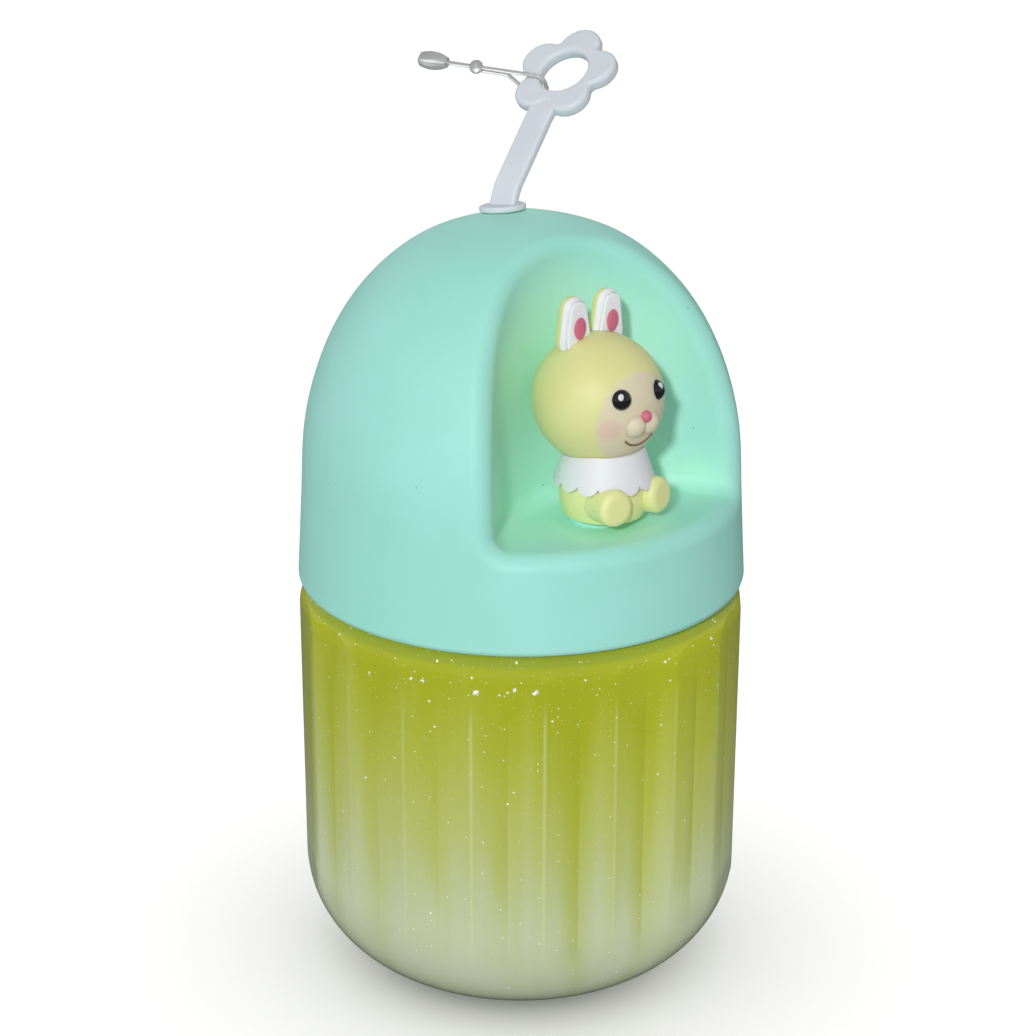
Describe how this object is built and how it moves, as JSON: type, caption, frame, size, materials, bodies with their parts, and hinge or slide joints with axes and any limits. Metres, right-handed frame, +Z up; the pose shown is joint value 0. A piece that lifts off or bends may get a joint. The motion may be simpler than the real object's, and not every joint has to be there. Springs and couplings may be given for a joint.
{
  "type": "sipper jar with toy in the lid",
  "caption": "Fluted glass jar with a domed screw lid, a seated toy rabbit in the lid's scoop, and a silicone straw-hole plug with a flower pull ring and a loop tag pin.",
  "frame": {"origin": "centre of the jar's base, on the surface it stands on", "axes": "+Z up along the jar's axis; -Y is the front, where the lid is scooped out for the toy"},
  "size_m": [0.08, 0.08, 0.1667],
  "materials": {
    "jar_glass": "clear glass, tinted in a coat that fades from olive green to pale green, with fine silver flecks",
    "seal_silicone": "translucent white silicone",
    "cap_plastic": "white polypropylene",
    "lid_mint": "satin mint plastic",
    "plug_silicone": "soft white silicone",
    "pin_nylon": "clear grey nylon",
    "toy_mint": "light mint plastic",
    "toy_yellow": "pale yellow, fine flocked look",
    "toy_white": "white, fine flocked look",
    "toy_cream": "cream plastic",
    "toy_pink": "pink plastic",
    "toy_black": "black glossy plastic"
  },
  "bodies": {
    "jar": {"glass_jar": "jar_glass"},
    "seal": {"lid_gasket": "seal_silicone"},
    "lid": {"lid_shell": "lid_mint", "lid_cap": "cap_plastic", "figure_base": "toy_mint", "figure_body": "toy_yellow", "figure_cape": "toy_white", "figure_tail": "toy_white", "figure_head": "toy_yellow", "figure_muzzle": "toy_cream", "figure_nose": "toy_pink", "figure_eyes": "toy_black", "figure_ear_right": "toy_yellow", "figure_ear_left": "toy_yellow", "ear_lining_right": "toy_white", "ear_lining_left": "toy_white"},
    "plug": {"straw_plug": "plug_silicone"},
    "tag": {"tag_pin": "pin_nylon"}
  },
  "joints": [
    {"name": "lid_rise", "type": "slide", "parent": "jar", "child": "seal", "axis": [0, 0, 1], "range_m": [0, 0.0151]},
    {"name": "lid_turn", "type": "hinge", "parent": "seal", "child": "lid", "pos_m": [0, 0, 0.08], "axis": [0, 0, 1], "range_deg": [0, 450]},
    {"name": "plug_pull", "type": "slide", "parent": "lid", "child": "plug", "axis": [0, 0, 1], "range_m": [0, 0.012]},
    {"name": "tag_swing", "type": "hinge", "parent": "plug", "child": "tag", "pos_m": [0.01356, 0.01577, 0.15811], "axis": [-0.6959, -0.3543, -0.6246], "range_deg": [-40, 40]}
  ],
  "couplings": [
    {"joint": "lid_rise", "follows": "lid_turn", "m_per_rad": 0.0019098}
  ]
}
